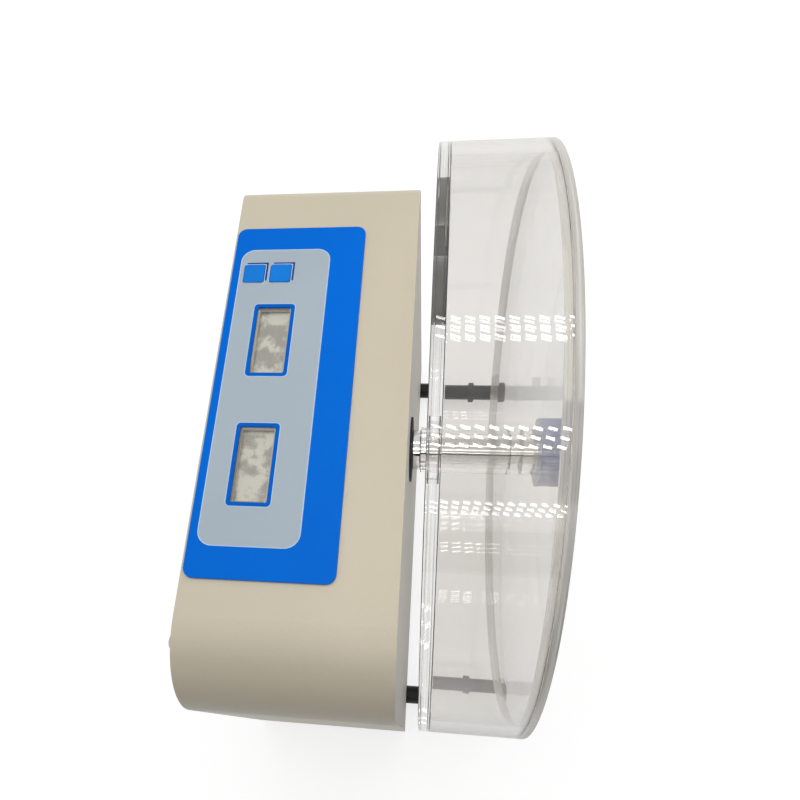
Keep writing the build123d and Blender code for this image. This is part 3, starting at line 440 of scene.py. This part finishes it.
class TESTER_OT_print_label(bpy.types.Operator):
    """Colour the label and print its field, display frames and key brackets"""

    bl_idname = "tester.print_label"
    bl_label = "Print label"

    def execute(self, context):
        look = context.scene.tester_label
        height = look.print_height
        film = {"rough": (0.42, 0.55), "shine": 0.05, "grain": 1500, "relief": 0.00001}
        blue = solid_finish("label_blue_film", look.blue, spread=0.05, cells=14, **film)
        field = solid_finish("label_field_film", look.field_colour, spread=0.03, cells=16, **film)
        line = solid_finish("label_pale_line", look.line_colour, spread=0.03, **film)
        frame_blue = solid_finish("display_frame_blue", [part * 0.82 for part in look.blue],
                                  spread=0.05, **film)
        dark = solid_finish("key_shadow_blue", (0.008, 0.06, 0.24), spread=0.05, **film)
        key = solid_finish("key_blue_film", (0.01, 0.20, 0.70), spread=0.05, **film)
        dress(blue, "control_label")
        dress(key, "start_key", "setting_key")
        windows = self.display_boxes()
        keys = [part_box(name) for name in ("start_key", "setting_key")]
        key_holes = [self.key_hole(low, high) for low, high in keys]
        window_corner = 0.001
        window_holes = [rounded_corners(*sides, LABEL_TOP, window_corner) for sides in windows]
        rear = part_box("control_label")[1].y
        x0, x1, y0, y1 = -0.0733, 0.098, rear - 0.0537, rear - 0.0047
        corner = 0.007
        rule = 0.0005
        edge = rounded_corners(x0 - rule, x1 + rule, y0 - rule, y1 + rule, LABEL_TOP, corner + rule)
        printed_layer("label_field_edge", edge, window_holes + key_holes, height, line)
        inner = rounded_corners(x0, x1, y0, y1, LABEL_TOP, corner)
        printed_layer("label_field", inner, window_holes + key_holes, 2 * height, field)
        for index, sides in enumerate(windows):
            self.print_frame(index, sides, look, line, frame_blue, window_holes[index])
        for index, (low, high) in enumerate(keys):
            self.print_bracket(index, low, high, height, dark, line)
        return {"FINISHED"}

    def key_hole(self, low, high):
        """The opening round one key, from the key's box."""
        return rounded_corners(low.x - KEY_FIT, high.x + KEY_FIT, low.y - KEY_FIT, high.y + KEY_FIT,
                               LABEL_TOP, KEY_CORNER)

    def display_boxes(self):
        """The two window openings of the label, from the windows' solids."""
        low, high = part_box("display_windows")
        length = 0.0404
        fit = 0.0001
        y0, y1 = low.y - fit, high.y + fit
        return [(low.x - fit, low.x - fit + length, y0, y1), (high.x + fit - length, high.x + fit, y0, y1)]

    def print_frame(self, index, sides, look, line, blue, hole):
        """A blue frame with a pale outline round one display."""
        x0, x1, y0, y1 = sides
        height = look.print_height
        width = look.frame_width
        pale = width + 0.0004
        outer = rounded_corners(x0 - pale, x1 + pale, y0 - pale, y1 + pale, LABEL_TOP, 0.0026)
        printed_layer("display_outline_%d" % (index + 1), outer, [hole], 3 * height, line)
        outer = rounded_corners(x0 - width, x1 + width, y0 - width, y1 + width, LABEL_TOP, 0.0022)
        printed_layer("display_frame_%d" % (index + 1), outer, [hole], 4 * height, blue)

    def print_bracket(self, index, low, high, height, dark, line):
        """A dark bracket, offset to the right and front, with a pale gap to its key."""
        gap = 0.0007
        reach = 0.0017
        rule = 0.0005
        offset = 0.0012
        pale_corner = 0.0015
        pale = rounded_corners(low.x - rule, high.x + gap, low.y - gap, high.y + rule, LABEL_TOP, pale_corner)
        x0, x1, x2 = low.x + offset, high.x + gap, high.x + reach
        y0, y1, y2 = low.y - reach, low.y - gap, high.y - offset
        outline = [(x0, y0), (x2, y0), (x2, y2), (x1, y2), (x1, y1), (x0, y1)]
        bracket = [(x, y, LABEL_TOP) for x, y in outline]
        printed_layer("key_bracket_%d" % (index + 1), bracket, [], 3 * height, dark)
        printed_layer("key_gap_%d" % (index + 1), pale, [self.key_hole(low, high)], 4 * height, line)


class TESTER_OT_glaze_displays(bpy.types.Operator):
    """Finish the display windows, their modules and their silvery glasses"""

    bl_idname = "tester.glaze_displays"
    bl_label = "Glaze displays"

    def execute(self, context):
        film, shader = node_shader("display_protective_film")
        mottle = object_noise(film, 120, detail=5, roughness=0.6)
        vary_colour(film, shader, mottle, (0.58, 0.56, 0.49), 0.3, 0.44, 0.56)
        shader.inputs["Specular IOR Level"].default_value = 0.3
        vary_roughness(film, shader, mottle, 0.22, 0.5)
        add_bump(film, shader, mottle, 0.0004, 0.6)
        dress(film, "display_glasses")
        module = solid_finish("display_module_grey", (0.30, 0.30, 0.29), rough=(0.4, 0.5))
        dress(module, "display_modules")
        dress(wall_finish("window_acrylic", (0.96, 0.96, 0.955), (0.02, 0.1)), "display_windows")
        return {"FINISHED"}


class TESTER_OT_build_drum(bpy.types.Operator):
    """Turn the drum's rear disc, rim, hub tube, lid and boss, and bend its paddle"""

    bl_idname = "tester.build_drum"
    bl_label = "Build drum"

    def execute(self, context):
        look = context.scene.tester_drum
        radius = look.outside_radius
        bore = radius - look.wall
        edge_reach = radius - 0.0004
        outside = clear_finish("rim_acrylic", look.wall_tint, haze=look.wall_haze, slant=True,
                               haze_colour=look.haze_colour)
        inside = clear_finish("bore_acrylic", look.wall_tint)
        lid_clear = wall_finish("lid_acrylic", look.lid_tint, (0.01, look.lid_haze), gloss_limit=0.5)
        sheet = wall_finish("paddle_acrylic", look.lid_tint, (0.01, look.lid_haze), gloss_limit=0.5)
        edge = clear_finish("frosted_edge", look.tint, roughness=0.15, haze=look.edge_haze,
                            haze_colour=look.edge_colour)
        step_edge = clear_finish("step_edge", look.tint, roughness=0.1, haze=look.step_haze,
                                 haze_colour=look.haze_colour)
        disc = clear_finish("disc_acrylic", look.tint)
        disc_edge = clear_finish("polished_edge", look.tint, haze=0.12, haze_colour=look.edge_colour,
                                 streaks=1.0)
        rear_low, rear_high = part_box("drum_rear_disc")
        rim_low, rim_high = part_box("drum_rim")
        lid_low, lid_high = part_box("drum_lid")
        hub_low, hub_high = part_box("hub_tube")
        boss_low, boss_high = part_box("lid_boss")
        tube_hole = look.hub_radius + 0.00006
        gap = GLUE_GAP
        piece = turned("rear_disc", [(tube_hole, rear_low.y), (radius, rear_low.y), (radius, rear_high.y),
                                     (tube_hole, rear_high.y)], disc, "drum", steps=look.steps)
        frost_edges(piece, disc_edge, edge_reach)
        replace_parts(piece, "drum_rear_disc")
        piece = turned("rim", [(bore, rim_low.y + gap), (radius, rim_low.y + gap),
                               (radius, rim_high.y - gap), (bore, rim_high.y - gap)],
                       inside, "drum", steps=look.steps)
        frost_edges(piece, outside, edge_reach)
        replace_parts(piece, "drum_rim")
        lid_bore = look.nose_radius + 0.0002
        shelf = rim_low.y
        step = bore - 0.0002
        profile = [(lid_bore, lid_low.y), (radius, lid_low.y), (radius, shelf), (step, shelf),
                   (step, lid_high.y), (lid_bore, lid_high.y)]
        piece = turned("lid", profile, lid_clear, "lid", steps=look.steps)
        frost_edges(piece, step_edge, step - 0.0004)
        frost_edges(piece, edge, edge_reach)
        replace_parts(piece, "drum_lid")
        piece = turned("boss", [(lid_bore, boss_low.y), (look.hub_radius, boss_low.y),
                                (look.hub_radius, boss_high.y - gap), (lid_bore, boss_high.y - gap)],
                       disc, "lid", steps=64)
        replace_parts(piece, "lid_boss")
        tube_bore = look.nose_radius + 0.00004
        piece = turned("hub_sleeve", [(tube_bore, hub_low.y + gap), (look.hub_radius, hub_low.y + gap),
                                      (look.hub_radius, hub_high.y), (tube_bore, hub_high.y)],
                       disc, "drum", steps=64)
        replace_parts(piece, "hub_tube")
        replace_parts(self.bend_paddle(look, sheet, bore), "drum_paddle")
        return {"FINISHED"}

    def bend_paddle(self, look, clear, bore):
        """A strip bent round an arc, cut off at the hub tube and at the rim."""
        low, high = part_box("drum_paddle")
        phase, start, sweep = math.radians(3.2), math.radians(-24), math.radians(140)
        hub_angle = math.radians(-30.55)
        hub_reach, rim_reach = 0.0127, bore - 0.0001
        rise = math.sqrt(look.paddle_radius ** 2 - (bore / 2) ** 2)
        turn = Matrix.Rotation(phase, 4, "Y")
        centre = turn @ Vector((-bore / 2, 0, rise))
        centre.z += AXIS_HEIGHT
        bm = bmesh.new()
        arms = [look.paddle_radius, look.paddle_radius + look.paddle_sheet]
        corners = [(arm, y) for arm, y in ((arms[0], low.y), (arms[1], low.y),
                                           (arms[1], high.y - GLUE_GAP), (arms[0], high.y - GLUE_GAP))]
        outline_wire(bm, [(centre.x + arm * math.cos(start), y, centre.z + arm * math.sin(start))
                          for arm, y in corners], 0.0003)
        bmesh.ops.contextual_create(bm, geom=bm.edges[:])
        bmesh.ops.spin(bm, geom=bm.verts[:] + bm.edges[:] + bm.faces[:], cent=centre, axis=(0, 1, 0),
                       dvec=(0, 0, 0), angle=sweep, steps=70, space=Matrix(),
                       use_merge=False, use_normal_flip=False, use_duplicate=False)
        hub_way = Vector((math.sin(hub_angle), 0, -math.cos(hub_angle)))
        rim_way = Vector((-math.cos(phase), 0, math.sin(phase)))
        axis_point = Vector((0, 0, AXIS_HEIGHT))
        for way, reach, keep in ((hub_way, hub_reach, 1), (rim_way, rim_reach, -1)):
            cut = bmesh.ops.bisect_plane(bm, geom=bm.verts[:] + bm.edges[:] + bm.faces[:], dist=0.0000001,
                                         plane_co=axis_point + way * reach, plane_no=way,
                                         clear_inner=keep > 0, clear_outer=keep < 0)
            rim = [item for item in cut["geom_cut"] if isinstance(item, bmesh.types.BMEdge)]
            bmesh.ops.contextual_create(bm, geom=rim)
        bmesh.ops.recalc_face_normals(bm, faces=bm.faces)
        return finish_piece(bm, "paddle", clear, "drum")


class TESTER_OT_turn_shaft(bpy.types.Operator):
    """Polish the shaft, collar, dowels and clamp washer"""

    bl_idname = "tester.turn_shaft"
    bl_label = "Turn shaft"

    def execute(self, context):
        polished = solid_finish("polished_steel", (0.72, 0.71, 0.69), rough=(0.05, 0.12), metallic=1,
                                spread=0.03, cells=30, grain=2500, relief=0.000004, stretch=(0.05, 1, 0.05))
        dress(polished, "drive_shaft", "drive_collar", "drive_dowels", "clamp_washer", "bearing_balls")
        return {"FINISHED"}


class TESTER_OT_finish_knob(bpy.types.Operator):
    """Colour the lid's knob and its brass insert"""

    bl_idname = "tester.finish_knob"
    bl_label = "Finish knob"

    def execute(self, context):
        blue = solid_finish("knob_blue_plastic", (0.035, 0.085, 0.34), rough=(0.22, 0.34), spread=0.06,
                            cells=80, grain=1800, relief=0.00001, coat=0.2)
        dress(blue, "drum_knob")
        brass = solid_finish("turned_brass", (0.62, 0.43, 0.16), rough=(0.2, 0.35), metallic=1)
        dress(brass, "knob_insert", "inlet_pins", "board_posts")
        return {"FINISHED"}


class TESTER_OT_finish_rods(bpy.types.Operator):
    """Finish the support rods, rubber rings, caps, feet and washer"""

    bl_idname = "tester.finish_rods"
    bl_label = "Finish rods"

    def execute(self, context):
        steel = solid_finish("blackened_steel", (0.018, 0.017, 0.015), rough=(0.3, 0.45), spread=0.2,
                             grain=1500, relief=0.00001, shine=0.2)
        dress(steel, "support_rods", "retaining_ring")
        rubber = solid_finish("black_rubber", (0.018, 0.018, 0.017), rough=(0.55, 0.75), spread=0.2)
        dress(rubber, "rubber_feet", "rod_rings", "rod_end_caps", "shaft_washer", "drive_belt")
        return {"FINISHED"}


class TESTER_OT_finish_inside(bpy.types.Operator):
    """Finish the drive, the boards and the transformer inside the case"""

    bl_idname = "tester.finish_inside"
    bl_label = "Finish inside"

    def execute(self, context):
        zinc = solid_finish("zinc_plate", (0.55, 0.55, 0.53), rough=(0.25, 0.45), metallic=1, spread=0.12,
                            cells=200)
        dress(zinc, "base_tray", "foot_screws", "back_plate_screws", "housing_nuts", "bracket_screws",
              "rod_set_screws", "motor_shaft", "motor_bracket", "motor_can")
        aluminium = solid_finish("turned_aluminium", (0.66, 0.66, 0.67), rough=(0.25, 0.4), metallic=1,
                                 stretch=(0.1, 1, 0.1))
        dress(aluminium, "bearing_housing", "rod_saddles", "driven_pulley", "motor_pulley", "motor_gearbox")
        bearing = solid_finish("bearing_steel", (0.6, 0.6, 0.61), rough=(0.12, 0.2), metallic=1)
        dress(bearing, "bearing_inner_rings", "bearing_outer_rings")
        board = solid_finish("board_green", (0.02, 0.12, 0.045), rough=(0.25, 0.4), spread=0.15, cells=400)
        dress(board, "display_board", "main_board")
        core = solid_finish("varnished_core", (0.06, 0.06, 0.065), rough=(0.3, 0.5), metallic=0.6,
                            grain=1200, stretch=(0.05, 1, 0.05), relief=0.0001)
        dress(core, "transformer_core")
        winding = solid_finish("winding_wrap", (0.52, 0.26, 0.04), rough=(0.2, 0.35), grain=900,
                               stretch=(0.05, 0.05, 1), relief=0.0001)
        dress(winding, "transformer_winding")
        return {"FINISHED"}


class TESTER_OT_finish_fittings(bpy.types.Operator):
    """Finish the mains inlet, power switch and fuse holder on the back"""

    bl_idname = "tester.finish_fittings"
    bl_label = "Finish fittings"

    def execute(self, context):
        black = solid_finish("moulded_black", (0.025, 0.025, 0.026), rough=(0.35, 0.5), spread=0.1,
                             grain=1400, relief=0.00003)
        dress(black, "mains_inlet", "power_switch_frame", "fuse_holder", "fuse_cap", "power_rocker",
              "optical_sensor", "key_switches", "encoder_disc", "main_board_parts")
        return {"FINISHED"}


def seen_rays(tree, rays, first, *others):
    """A signal that is 1 for any of the named kinds of ray."""
    signal = rays.outputs[first]
    for name in others:
        signal = math_node(tree.nodes, tree.links, "MAXIMUM", signal, rays.outputs[name])
    return signal


class TESTER_OT_set_stage(bpy.types.Operator):
    """Set the floor, the even world light, the lamps and the camera"""

    bl_idname = "tester.set_stage"
    bl_label = "Set stage"

    def execute(self, context):
        stage = context.scene.tester_stage
        self.lay_floor()
        self.light_world(stage)
        self.hang_lamps(stage)
        self.hang_strips(stage)
        # Dark cards seen only through the disc's edge and in the shaft: painted shade and a painted dark
        # reflection.
        self.set_painted_shade_and_reflection_cards()
        self.place_camera(stage)
        context.scene.view_settings.view_transform = "Standard"
        context.scene.cycles.max_bounces = 24
        context.scene.cycles.transmission_bounces = 20
        context.scene.cycles.transparent_max_bounces = 24
        return {"FINISHED"}

    def lay_floor(self):
        """A plain pale floor that is seen as white, with the object's shadow on it."""
        half_side, drop, grey, glow_level = 6, 0.0002, 0.33, 0.76
        bm = bmesh.new()
        bmesh.ops.create_grid(bm, x_segments=1, y_segments=1, size=half_side)
        bmesh.ops.translate(bm, verts=bm.verts, vec=(0, 0, -drop))
        mesh = bpy.data.meshes.new("floor")
        bm.to_mesh(mesh)
        bm.free()
        floor = bpy.data.objects.new("floor", mesh)
        bpy.context.scene.collection.objects.link(floor)
        material, shader = node_shader("white_floor")
        shader.inputs["Base Color"].default_value = (grey, grey, grey, 1)
        shader.inputs["Roughness"].default_value = 0.9
        shader.inputs["Specular IOR Level"].default_value = 0
        tree = material.node_tree
        glow = tree.nodes.new("ShaderNodeEmission")
        rays = tree.nodes.new("ShaderNodeLightPath")
        level = tree.nodes.new("ShaderNodeMapRange")
        level.inputs["To Min"].default_value = 0
        level.inputs["To Max"].default_value = glow_level
        tree.links.new(seen_rays(tree, rays, "Is Camera Ray", "Is Glossy Ray", "Is Transmission Ray"),
                       level.inputs["Value"])
        tree.links.new(level.outputs["Result"], glow.inputs["Strength"])
        add = tree.nodes.new("ShaderNodeAddShader")
        tree.links.new(shader.outputs["BSDF"], add.inputs[0])
        tree.links.new(glow.outputs["Emission"], add.inputs[1])
        tree.links.new(add.outputs["Shader"], tree.nodes["Material Output"].inputs["Surface"])
        mesh.materials.append(material)

    def light_world(self, stage):
        """Even light on surfaces, white where it is seen and a little darker through plastic."""
        world = bpy.data.worlds.new("studio")
        bpy.context.scene.world = world
        world.use_nodes = True
        tree = world.node_tree
        back = tree.nodes["Background"]
        back.inputs["Color"].default_value = (1, 1, 1, 1)
        rays = tree.nodes.new("ShaderNodeLightPath")
        room = tree.nodes.new("ShaderNodeMapRange")
        room.inputs["To Min"].default_value = stage.world_level
        room.inputs["To Max"].default_value = stage.room_level
        tree.links.new(seen_rays(tree, rays, "Is Glossy Ray", "Is Transmission Ray"), room.inputs["Value"])
        seen = tree.nodes.new("ShaderNodeMapRange")
        seen.inputs["To Max"].default_value = 1
        tree.links.new(rays.outputs["Is Camera Ray"], seen.inputs["Value"])
        tree.links.new(room.outputs["Result"], seen.inputs["To Min"])
        tree.links.new(seen.outputs["Result"], back.inputs["Strength"])

    def hang_lamps(self, stage):
        """A large soft lamp overhead, and weaker ones at the front right and behind."""
        for name, power, size, place in (
                ("ceiling", stage.ceiling_power, 1.5, (0.35, 0.1, 1.7)),
                ("side", stage.ceiling_power * 0.35, 1.0, (1.3, -0.9, 0.9)),
                ("back", stage.ceiling_power * 0.3, 1.0, (0.2, 1.5, 0.7))):
            lamp = bpy.data.lights.new(name, "AREA")
            lamp.energy = power
            lamp.size = size
            holder = bpy.data.objects.new(name, lamp)
            bpy.context.scene.collection.objects.link(holder)
            holder.location = place
            aim = Vector((0, 0, 0.15)) - Vector(place)
            holder.rotation_euler = aim.to_track_quat("-Z", "Y").to_euler()
            holder.visible_camera = holder.visible_glossy = holder.visible_transmission = False

    def hang_strips(self, stage):
        """Rows of louvre cells on the ceiling, which only show where the piece reflects them."""
        ceiling, first_row, pitch, cells_each = 2.2, -1.3, 0.048, 34
        tube_gap, half_width, lean, depth = 0.12, 0.035, 0.002, 0.032
        bm = bmesh.new()
        for middle in (0.55, -0.77, -2.0):
            for tube in (-tube_gap, 0, tube_gap):
                for cell in range(cells_each):
                    x, y = middle + tube, first_row + pitch * cell
                    corners = [(x - half_width, y), (x + lean, y), (x + half_width, y + depth),
                               (x - lean, y + depth)]
                    bm.faces.new([bm.verts.new((cx, cy, ceiling)) for cx, cy in corners])
        mesh = bpy.data.meshes.new("louvre_cells")
        bm.to_mesh(mesh)
        bm.free()
        cells = bpy.data.objects.new("louvre_cells", mesh)
        bpy.context.scene.collection.objects.link(cells)
        material, shader = node_shader("louvre_light")
        shader.inputs["Base Color"].default_value = (0, 0, 0, 1)
        shader.inputs["Emission Color"].default_value = (1, 1, 1, 1)
        shader.inputs["Emission Strength"].default_value = stage.strip_level
        mesh.materials.append(material)
        cells.visible_camera = False
        cells.visible_diffuse = False
        cells.visible_shadow = False

    def set_painted_shade_and_reflection_cards(self):
        """Two dark cards that paint shade: one on the floor under the drum, seen only through the rear disc's
        edge as painted shade; one seen only in reflections, as a painted dark reflection on the shaft.
        """
        material, shader = node_shader("painted_shade_and_reflection_card")
        shader.inputs["Base Color"].default_value = (0.01, 0.01, 0.01, 1)
        shader.inputs["Specular IOR Level"].default_value = 0
        low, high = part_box("drum_rear_disc")
        front, rear = low.y, high.y + 0.002
        inner, outer, lift = 0.120, 0.142, 0.0006
        disc_corners = [(inner, front, lift), (outer, front, lift), (outer, rear, lift), (inner, rear, lift)]
        left, right, bottom, top = -0.53, -0.446, 0.43, 0.553
        near, far = -0.6, 0.4
        shaft_corners = [(left, near, bottom), (right, near, top), (right, far, top), (left, far, bottom)]
        # The disc card paints the shade under the drum; the shaft card paints a dark reflection on the shaft.
        for name, corners, mirrored in (("disc_painted_shade_card", disc_corners, False),
                                        ("shaft_painted_reflection_card", shaft_corners, True)):
            bm = bmesh.new()
            bm.faces.new([bm.verts.new(corner) for corner in corners])
            mesh = bpy.data.meshes.new(name)
            bm.to_mesh(mesh)
            bm.free()
            mesh.materials.append(material)
            card = bpy.data.objects.new(name, mesh)
            bpy.context.scene.collection.objects.link(card)
            card.visible_camera = card.visible_diffuse = card.visible_shadow = False
            card.visible_glossy = mirrored

    def place_camera(self, stage):
        """The camera of the photograph, above the machine's left side."""
        lens = bpy.data.cameras.new("camera")
        lens.sensor_fit = "HORIZONTAL"
        lens.sensor_width = 36
        lens.lens = stage.focal
        lens.shift_x = stage.shift_x
        lens.shift_y = stage.shift_y
        lens.clip_start = 0.01
        camera = bpy.data.objects.new("camera", lens)
        bpy.context.scene.collection.objects.link(camera)
        right = Vector((0.07812, -0.99072, -0.11123)).normalized()
        up = Vector((0.94112, 0.03647, 0.3361)).normalized()
        back = right.cross(up).normalized()
        up = back.cross(right)
        turn = Matrix((right, up, back)).transposed().to_4x4()
        spot = Vector((-0.1528, CASE_FRONT - 0.0128, 0.4757))
        camera.matrix_world = Matrix.Translation(spot) @ turn
        bpy.context.scene.camera = camera


OPERATORS = (
    TESTER_OT_paint_case,
    TESTER_OT_print_label,
    TESTER_OT_glaze_displays,
    TESTER_OT_build_drum,
    TESTER_OT_turn_shaft,
    TESTER_OT_finish_knob,
    TESTER_OT_finish_rods,
    TESTER_OT_finish_inside,
    TESTER_OT_finish_fittings,
    TESTER_OT_set_stage,
)


class TESTER_PT_sidebar(bpy.types.Panel):
    """Lists the steps that finish the tester"""

    bl_idname = "TESTER_PT_sidebar"
    bl_label = "Friability Tester"
    bl_space_type = "VIEW_3D"
    bl_region_type = "UI"
    bl_category = "Tester"

    def draw(self, context):
        for step in OPERATORS:
            self.layout.operator(step.bl_idname)


def register():
    """Register the settings, the steps and the panel."""
    for name, group in SETTINGS.items():
        bpy.utils.register_class(group)
        setattr(bpy.types.Scene, name, bpy.props.PointerProperty(type=group))
    for step in OPERATORS:
        bpy.utils.register_class(step)
    bpy.utils.register_class(TESTER_PT_sidebar)


def unregister():
    """Take the panel, the steps and the settings away again."""
    bpy.utils.unregister_class(TESTER_PT_sidebar)
    for step in reversed(OPERATORS):
        bpy.utils.unregister_class(step)
    for name, group in SETTINGS.items():
        delattr(bpy.types.Scene, name)
        bpy.utils.unregister_class(group)


def main():
    """Run every step in order and update the view layer."""
    register()
    bpy.ops.tester.paint_case()
    bpy.ops.tester.print_label()
    bpy.ops.tester.glaze_displays()
    bpy.ops.tester.build_drum()
    bpy.ops.tester.turn_shaft()
    bpy.ops.tester.finish_knob()
    bpy.ops.tester.finish_rods()
    bpy.ops.tester.finish_inside()
    bpy.ops.tester.finish_fittings()
    bpy.ops.tester.set_stage()
    bpy.context.view_layer.update()


if __name__ == "__main__":
    main()
